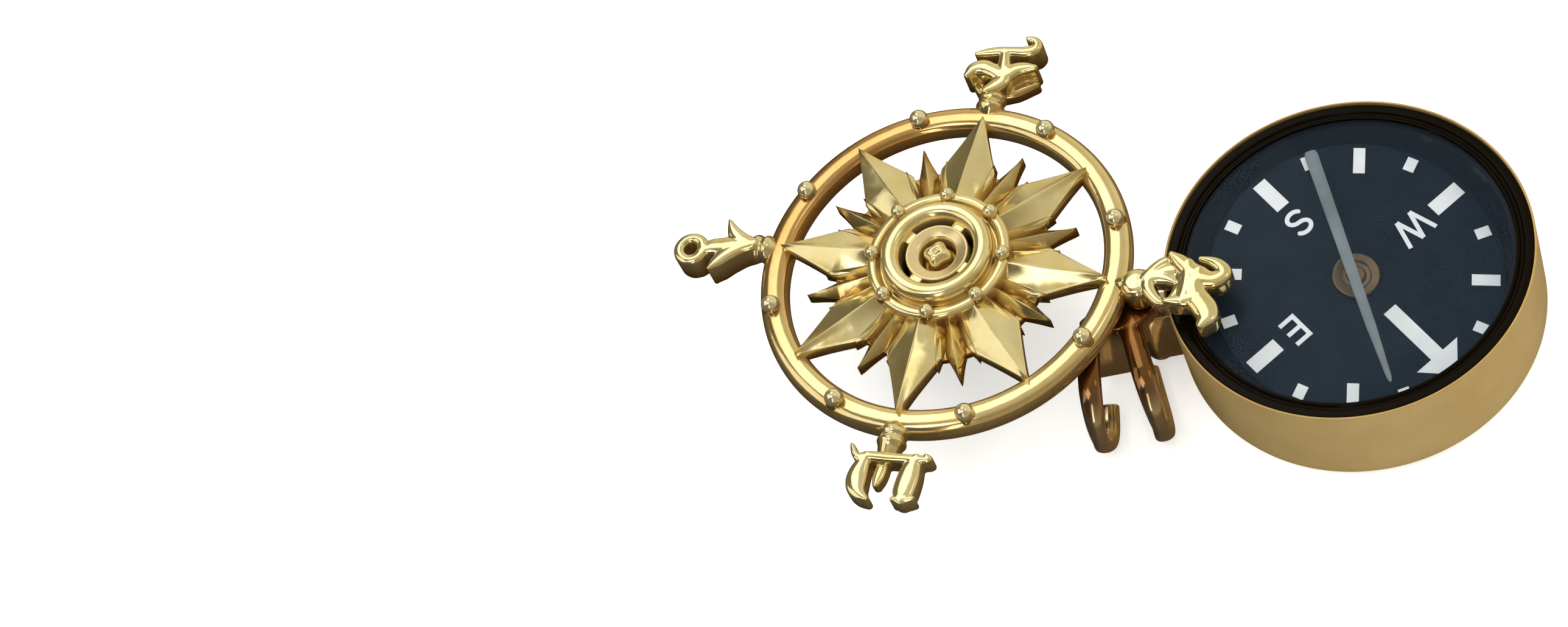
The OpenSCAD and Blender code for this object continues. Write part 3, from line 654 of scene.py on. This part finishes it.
W_WING_STROKES = [
    # the low inner wing beside it, and what fills it up to the middle stroke
    [[-13.95, 2.5, 0.26], [-13.7, 1.9, 0.42], [-13.4, 1.3, 0.5], [-13.1, 0.6, 0.46], [-12.8, 0.0, 0.36]],
    [[-14.25, 2.3, 0.3], [-13.95, 1.6, 0.5], [-13.6, 0.9, 0.5]],
    # and its foot
    [[-13.9, -1.5, 0.3], [-13.4, -1.1, 0.4], [-12.9, -0.5, 0.4]],
]

# Heights of the letters' undersides and of their strokes' crests
N_E_LOW, W_S_LOW = 0.8, 0.2
CREST, FOOT_CREST, TONGUE_CREST, WING_CREST = 2.12, 1.85, 1.7, 1.1

# Posts: radius and distance from the rose's middle, from inside the ring outwards; then where each one ends
COLLARED = [(0, 10.9, 0), (0.3, 10.95, 0.03), (0.8, 11.5, 0.15), (0.98, 11.85, 0.2), (0.8, 12.15, 0.12),
            (0.98, 12.5, 0.2), (0.78, 12.85, 0.15)]
SMOOTH = [(0, 10.9, 0), (0.3, 10.95, 0.03), (0.62, 11.6, 0.2)]
POST_Z = 1.05
N_POST_END, W_POST_END, S_POST_END, E_POST_END = 12.5, 13.2, 13.3, 13.8


def stroke_patch(bends, low, crest):
    """A stroke of a cast letter. Along the smooth line through the bends runs a section that is flat below,
    nearly upright at its sides and a low broad arch on top: x = w cos a, z = edge + (crest - edge)
    sin(a)^0.5, the edge being 0.4 under the crest. At both ends the width shrinks as sqrt(1 - t^2) while
    the line runs on by t times the width."""
    line = smooth_line(bends)
    edge = crest - 0.4
    along = np.gradient(line[:, :2], axis=0)
    along /= np.linalg.norm(along, axis=1)[:, None]
    t = np.sin(np.linspace(0, np.pi / 2, 6))[1:]
    grow = np.concatenate([t[::-1], 0 * line[:, 0], t])
    first, last = np.zeros(len(t), int), np.full(len(t), len(line) - 1)
    pick = np.concatenate([first, np.arange(len(line)), last])
    sign = np.concatenate([-np.ones(len(t)), 0 * line[:, 0], np.ones(len(t))])
    half = line[pick, 2]
    middle = line[pick, :2] + along[pick] * (sign * grow * half)[:, None]
    half = half * np.sqrt(1 - grow ** 2) + 0.004
    across = np.stack([-along[pick, 1], along[pick, 0]], axis=-1)
    a = np.radians(np.linspace(180, 0, 15))
    sides = np.concatenate([[-0.97], np.cos(a), [0.97]])
    height = np.concatenate([[low], edge + (crest - edge) * np.sqrt(np.sin(a).clip(0)), [low]])
    plan = middle[:, None] + across[:, None] * (half[:, None] * sides[None, :])[..., None]
    return closed_tube(xyz(plan[..., 0], plan[..., 1], height[None, :]))


def strokes(all_bends, low, crest=CREST):
    """A stroke for each line of bends."""
    return [stroke_patch(bends, low, crest) for bends in all_bends]


def post_patch(shape, end, degrees):
    """A post turned about its own level axis, from inside the ring to its letter, a little lower than it is
    wide."""
    post = lathe(rounded([*shape, (0.6, end, 0.2), (0, end, 0)], 8), 48)
    level = moved(post, lambda p: xyz(p[..., 0], p[..., 2], p[..., 1] * 0.98 + POST_Z))
    return moved(level, lambda p: turned(p, degrees))


def letter(name, patches):
    """The strokes of one letter, run together as cast."""
    cast_as_one(cover_piece(name, patches, LETTER_GOLD), grain=0.05, rounds=9)


def letters():
    """The four letters, the neck round the pin that the N carries, and the four posts."""
    neck = lathe(rounded([(0, 0, 0), (1.05, 0, 0.12), (1.05, 1.7, 0.5), (0, 1.78, 0)], 6), 64)
    neck = shifted(neck, (0, PIN_D, 0))
    letter("letter_n", [*strokes(N_STROKES, N_E_LOW), *strokes(N_FOOT_STROKES, N_E_LOW, FOOT_CREST), neck])
    letter("letter_w", [*strokes(W_STROKES, W_S_LOW), *strokes(W_WING_STROKES, W_S_LOW, WING_CREST)])
    letter("letter_s", strokes(S_STROKES, W_S_LOW))
    letter("letter_e", [*strokes(E_STROKES, N_E_LOW), *strokes(E_TONGUE_STROKES, N_E_LOW, TONGUE_CREST)])
    posts = [post_patch(SMOOTH, N_POST_END, 0), post_patch(COLLARED, W_POST_END, 90),
             post_patch(COLLARED, S_POST_END, 180), post_patch(COLLARED, E_POST_END, -90)]
    cover_piece("letter_posts", posts, LETTER_GOLD)


# Case, compass capsule and glass

LIP_R = 11.06
SEAT_R, SEAT_Z, BACK_T = 10.2, 6.0, 0.8
LUG_R, LUG_LOW, LUG_HIGH, LUG_ROOT = 0.95, 1.0, 5.74, -10.75


def case():
    """The drum: one turned path from the middle of its back, round the edge, up the wall, over the thin lip
    and down inside. The lug is a rounded block with a round end about the pin, polished like the bail."""
    drum = lathe(rounded([
        (0, 0, 0), (CASE_R, 0, 0.9), (CASE_R, CASE_H, 0.08), (LIP_R, CASE_H, 0.03), (LIP_R, SEAT_Z, 0.05),
        (SEAT_R, SEAT_Z, 0.05), (SEAT_R, BACK_T, 0.1), (0, BACK_T, 0)], 10), 288)
    a = np.radians(np.linspace(90, 270, 25))
    end = np.stack([-PIN_D + LUG_R * np.cos(a), LUG_R * np.sin(a)], axis=-1)
    root = np.array([[LUG_ROOT, -LUG_R], [LUG_ROOT, LUG_R]])
    lug = prism(np.concatenate([end, root]), LUG_LOW, LUG_HIGH, edge=0.15)
    piece("case_lug", [lug], "case_body", ["case"], BAIL_GOLD)
    piece("case_drum", [drum], "case_body", ["case"], SATIN)


def capsule():
    """The black housing and its bezel, turned, with the groove round the bezel and the pivot under the
    card."""
    shell = lathe(rounded([
        (0, 0.84, 0), (10.16, 0.84, 0.1), (10.16, 6.04, 0.03), (11.02, 6.04, 0.03), (11.02, 6.96, 0.1),
        (10.5, 6.96, 0.05), (10.4, 6.8, 0.04), (10.26, 6.8, 0.04), (10.14, 6.96, 0.05), (10.0, 6.96, 0.03),
        (10.0, 6.44, 0.02), (9.7, 6.44, 0.04), (9.7, 1.34, 0.2), (0, 1.34, 0)], 6), 256)
    pivot = lathe(rounded([(0.6, 1.3, 0), (0.38, 1.5, 0.1), (0.35, 2.85, 0.1), (0.1, 4.0, 0.02),
                           (0, 4.03, 0)]), 48)
    pivot = shifted(pivot, (CARD_AT[0], CARD_AT[1], 0))
    piece("capsule_housing", [shell, pivot], "case_body", ["capsule"], HOUSING)


def crystal():
    """The glass, a flat disc with its edges eased."""
    radius, top = 9.98, CRYSTAL_Z + 0.4
    disc = lathe(rounded([(0, CRYSTAL_Z, 0), (radius, CRYSTAL_Z, 0.05), (radius, top, 0.12), (0, top, 0)]),
                 256)
    piece("crystal_glass", [disc], "case_body", ["crystal"], GLASS)


def lubber_bar():
    """The bar under the glass: its half width falls from tail to tip, and its top is crowned as 1 - v^2."""
    tail, length, top, crown, under = -8.6, 17.4, 6.36, 0.07, 6.29
    x = tail + length * np.linspace(0, 1, 60)
    half = np.interp(x, [-8.6, -8.45, 4.6, 8.65, 8.8], [0.3, 0.42, 0.3, 0.15, 0.06])
    v = np.linspace(-1, 1, 11)
    side = np.concatenate([v, [0.95, -0.95]])
    height = np.concatenate([top + crown * (1 - v ** 2), [under, under]])
    bar = closed_tube(xyz(x[:, None], half[:, None] * side[None, :], height[None, :]))
    placed = moved(bar, lambda p: turned(p, BAR_TURN))
    piece("lubber_bar_strip", [placed], "case_body", ["lubber_bar"], GREY)


# Compass card

def card():
    """The card: a thin disc, very slightly dished, with an eased edge and the hole for its hub."""
    radius, hole, under = 8.9, 0.8, -0.25
    disc = lathe(rounded([(hole, 0.0, 0), (4.5, -0.004, 0.5), (radius, 0.0, 0.06), (radius, under, 0.06),
                          (hole, under, 0), (hole, -0.001, 0)]), 256)
    piece("card_disc", [moved(disc, on_card)], "card_body", ["card"], NAVY)


def card_hub():
    """The hub, turned: a flange with a ring groove, a raised middle and the socket that sits on the pivot."""
    path = rounded([(0, 0.52, 0), (0.5, 0.52, 0.08), (0.62, 0.3, 0.06), (0.86, 0.28, 0.05),
                    (0.96, 0.4, 0.05), (1.42, 0.4, 0.08), (1.5, 0.22, 0.06), (1.5, 0.03, 0.02),
                    (0.78, 0.02, 0.02), (0.75, -0.9, 0.06), (0.68, -0.9, 0.02), (0.22, -0.1, 0.04),
                    (0, -0.1, 0)])
    hub = moved(lathe(path, 96), on_card)
    piece("card_hub_turned", [hub], "card_body", ["card_hub"], BRASS)


def card_print():
    """The printed marks keep the solid's shape and get their own finish."""
    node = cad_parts["card_marks"]
    node.data.materials.clear()
    node.data.materials.append(WHITE)


# Bail and pin

LOOP_R = 2.85
LOOP_Z = 3.7
BEND_V = 4.65
# The band's half width on the straight and at the tip, and half its thickness
BAND_W, TIP_W, BAND_T = 0.72, 0.5, 0.4
# Each loop's root and tip across the bail, and the place along it where the lower run ends
LOOPS = ((1.22, 0.19, 1.4), (3.55, 4.05, 3.5))
BAIL_REACH = 7.9
BAIL_TOP = 6.9


def loop_patch(root, tip, lower):
    """A band bent to a hairpin in an upright plane: straight out along the top, half a turn of radius 2.85,
    and back below. Its section is an oval: x = w cos(s), y = 0.4 sin(s)^0.8, its half width w falling from
    0.72 on the straight to 0.5 at the tip as 0.5 + 0.22 |sin(a)|."""
    out = np.stack([np.linspace(1.2, BEND_V, 14), 0 * np.arange(14) + LOOP_Z + LOOP_R], axis=-1)
    a = np.radians(np.linspace(90, -90, 49))[1:-1]
    bend = np.stack([BEND_V + LOOP_R * np.cos(a), LOOP_Z + LOOP_R * np.sin(a)], axis=-1)
    back = np.stack([np.linspace(BEND_V, lower, 14), 0 * np.arange(14) + LOOP_Z - LOOP_R], axis=-1)
    path = np.concatenate([out, bend, back])
    along = np.gradient(path, axis=0)
    along /= np.linalg.norm(along, axis=1)[:, None]
    outward = np.stack([-along[:, 1], along[:, 0]], axis=-1)
    round_tip = TIP_W + (BAND_W - TIP_W) * np.abs(np.sin(a))
    half = np.concatenate([np.full(len(out), BAND_W), round_tip, np.full(len(back), BAND_W)])
    s = np.linspace(0, 2 * np.pi, 40, endpoint=False)
    x = half[:, None] * np.cos(s)[None, :]
    y = BAND_T * np.sign(np.sin(s)) * np.abs(np.sin(s)) ** 0.8
    forward = path[:, :1] + outward[:, :1] * y[None, :]
    height = path[:, 1:] + outward[:, 1:] * y[None, :]
    slant = np.degrees(np.arctan2(BAIL_REACH, tip - root)) - 90
    band = closed_tube(xyz(x, forward, height))
    return moved(band, lambda p: turned(p, slant) + np.array([root, 0, 0]))


def bail():
    """Two hairpin loops, the plate round the pin, the bracket and the root block, run together as one
    piece."""
    a = np.radians(np.linspace(150, 290, 24))
    knuckle = np.stack([1.05 * np.cos(a), 1.05 * np.sin(a)], axis=-1)
    edge = np.array([[1.6, -0.75], [3.3, 0.25], [4.05, 0.8], [4.05, 1.9], [0.6, 1.9], [-0.3, 1.25]])
    plate = prism(np.concatenate([knuckle, edge]), 5.84, 6.95, edge=0.15)
    bracket = prism([[1.3, 0.8], [4.05, 0.8], [4.05, 1.9], [1.3, 1.9]], 1.6, BAIL_TOP, edge=0.2)
    root = prism([[0.57, 1.3], [1.87, 1.3], [1.87, 1.9], [0.57, 1.9]], 0.45, BAIL_TOP, edge=0.12)
    patches = [plate, bracket, root] + [loop_patch(*one) for one in LOOPS]
    made = piece("bail_casting", [moved(each, in_bail) for each in patches],
                 "bail_body", ["bail"], BAIL_GOLD)
    cast_as_one(made, grain=0.07, rounds=6)


def hinge_pin():
    """The pin: a low domed head under the lug and a plain shank up into the cover's neck, turned."""
    head_r, shank_r = 0.85, 0.5
    path = rounded([(0, 0.54, 0), (0.6, 0.56, 0.2), (head_r, 0.72, 0.12), (head_r, 0.94, 0.05),
                    (shank_r, 0.94, 0.02), (shank_r, 8.55, 0.08), (0, 8.6, 0)])
    pin = shifted(lathe(path, 64), (-PIN_D, 0, 0))
    piece("hinge_pin_turned", [pin], "cover_body", ["hinge_pin"], PIN_GOLD)


# Floor, light and camera

# In metres: the floor's half width and height, the point that the panels face, and how far off they are
FLOOR_HALF, FLOOR_Z = 1.5, -2e-5
LIT = Vector((-0.008, -0.002, 0.006))
LIGHT_DISTANCE = 0.6

# Colours of the sky from below to above, from left to right, and from front to back, which are multiplied
BY_HEIGHT = [(0.0, (0.07, 0.04, 0.016)), (0.44, (0.20, 0.13, 0.05)), (0.5, (0.34, 0.26, 0.13)),
             (0.56, (0.66, 0.62, 0.48)), (0.75, (0.66, 0.63, 0.51)), (0.87, (0.52, 0.50, 0.41)),
             (1.0, (0.50, 0.48, 0.40))]
BY_SIDE = [(0.30, (0.13, 0.12, 0.08)), (0.42, PLAIN)]
BY_DEPTH = [(0.28, (0.45, 0.40, 0.32)), (0.56, PLAIN)]

# The photograph's own view of the opened pendant, as fitted: lens and sensor width in millimetres, how near
# it sees in metres, its place, and its three directions
LENS, SENSOR, NEAREST = 77.96, 36, 0.005
CAMERA_AT = Vector((10.40, -111.27, 180.98)) * MM
CAMERA_RIGHT = Vector((0.9581, -0.0481, -0.2825))
CAMERA_UP = Vector((0.1915, 0.8406, 0.5066))
CAMERA_BACK = Vector((0.2131, -0.5395, 0.8146))


def floor():
    """A wide pale sheet just under the case, which glows a little and isn't part of the object."""
    corners = [(-FLOOR_HALF, -FLOOR_HALF, FLOOR_Z), (FLOOR_HALF, -FLOOR_HALF, FLOOR_Z),
               (FLOOR_HALF, FLOOR_HALF, FLOOR_Z), (-FLOOR_HALF, FLOOR_HALF, FLOOR_Z)]
    mesh = bpy.data.meshes.new("floor")
    mesh.from_pydata(corners, [], [(0, 1, 2, 3)])
    made = bpy.data.objects.new("floor", mesh)
    bpy.context.scene.collection.objects.link(made)
    f = Finish("pale_floor")
    f.colour(f.ramp(f.noise(size=30, detail=2), [(0.3, (0.93, 0.93, 0.93)), (0.7, (0.95, 0.95, 0.95))]))
    f.set(Roughness=0.9, Specular_IOR_Level=0.1, Emission_Color=(1.0, 1.0, 1.0, 1.0), Emission_Strength=0.5)
    mesh.materials.append(f.made)
    made.visible_glossy = False


def panel(name, azimuth, elevation, size, brightness, reflected=True):
    """A soft rectangular light round the pendant, at an azimuth and elevation, facing it. Its power is its
    brightness times pi times its area. One that isn't reflected only fills in."""
    a, e = np.radians(azimuth), np.radians(elevation)
    place = LIT + LIGHT_DISTANCE * Vector((np.cos(e) * np.cos(a), np.cos(e) * np.sin(a), np.sin(e)))
    light = bpy.data.lights.new(name, "AREA")
    light.shape = "RECTANGLE"
    light.size, light.size_y = size
    light.energy = brightness * np.pi * size[0] * size[1]
    made = bpy.data.objects.new(name, light)
    bpy.context.scene.collection.objects.link(made)
    made.location = place
    made.rotation_euler = (LIT - place).to_track_quat("-Z", "Y").to_euler()
    made.visible_glossy = reflected


def sky():
    """A dim warm sky, darker to the left, to the front and below: the three ramps multiplied, each read by
    one coordinate of the direction."""
    world = bpy.data.worlds.new("studio")
    bpy.context.scene.world = world
    world.use_nodes = True
    tree = world.node_tree
    toward = tree.nodes.new("ShaderNodeTexCoord")
    half = tree.nodes.new("ShaderNodeMapping")
    half.inputs["Location"].default_value = (0.5, 0.5, 0.5)
    half.inputs["Scale"].default_value = (0.5, 0.5, 0.5)
    parts = tree.nodes.new("ShaderNodeSeparateXYZ")
    tree.links.new(toward.outputs["Generated"], half.inputs["Vector"])
    tree.links.new(half.outputs["Vector"], parts.inputs["Vector"])
    grades = []
    for axis, stops in (("Z", BY_HEIGHT), ("X", BY_SIDE), ("Y", BY_DEPTH)):
        grade = ramp_node(tree, stops)
        tree.links.new(parts.outputs[axis], grade.inputs["Fac"])
        grades.append(grade.outputs["Color"])
    height, side, depth = grades
    colour = product(tree, product(tree, height, side), depth)
    background = tree.nodes["Background"]
    tree.links.new(colour, background.inputs["Color"])
    background.inputs["Strength"].default_value = 1.0


def lighting():
    """The sky, a big overhead fill that metal doesn't reflect, and panels for the bright streaks."""
    panel("fill", 0, 90, (1.0, 1.0), 1.6, reflected=False)
    panel("back", 112, 56, (0.22, 0.20), 1.3)
    panel("left", 176, 44, (0.46, 0.36), 0.95)
    panel("over", -150, 68, (0.20, 0.20), 2.3)
    panel("right", 17, 62, (0.14, 0.12), 0.9)
    panel("front", -104, 32, (0.08, 0.42), 2.0)
    sky()
    bpy.context.scene.view_settings.view_transform = "Standard"


def camera():
    """The camera, set up by its place and its three directions."""
    lens = bpy.data.cameras.new("camera")
    lens.sensor_fit = "HORIZONTAL"
    lens.sensor_width = SENSOR
    lens.lens = LENS
    lens.clip_start = NEAREST
    made = bpy.data.objects.new("camera", lens)
    bpy.context.scene.collection.objects.link(made)
    turn = Matrix((CAMERA_RIGHT, CAMERA_UP, CAMERA_BACK)).transposed().to_4x4()
    made.matrix_world = Matrix.Translation(CAMERA_AT) @ turn
    bpy.context.scene.camera = made


camera()
outer_ring()
rays()
flutes()
boss()
letters()
case()
capsule()
crystal()
lubber_bar()
card()
card_hub()
card_print()
bail()
hinge_pin()
floor()
lighting()
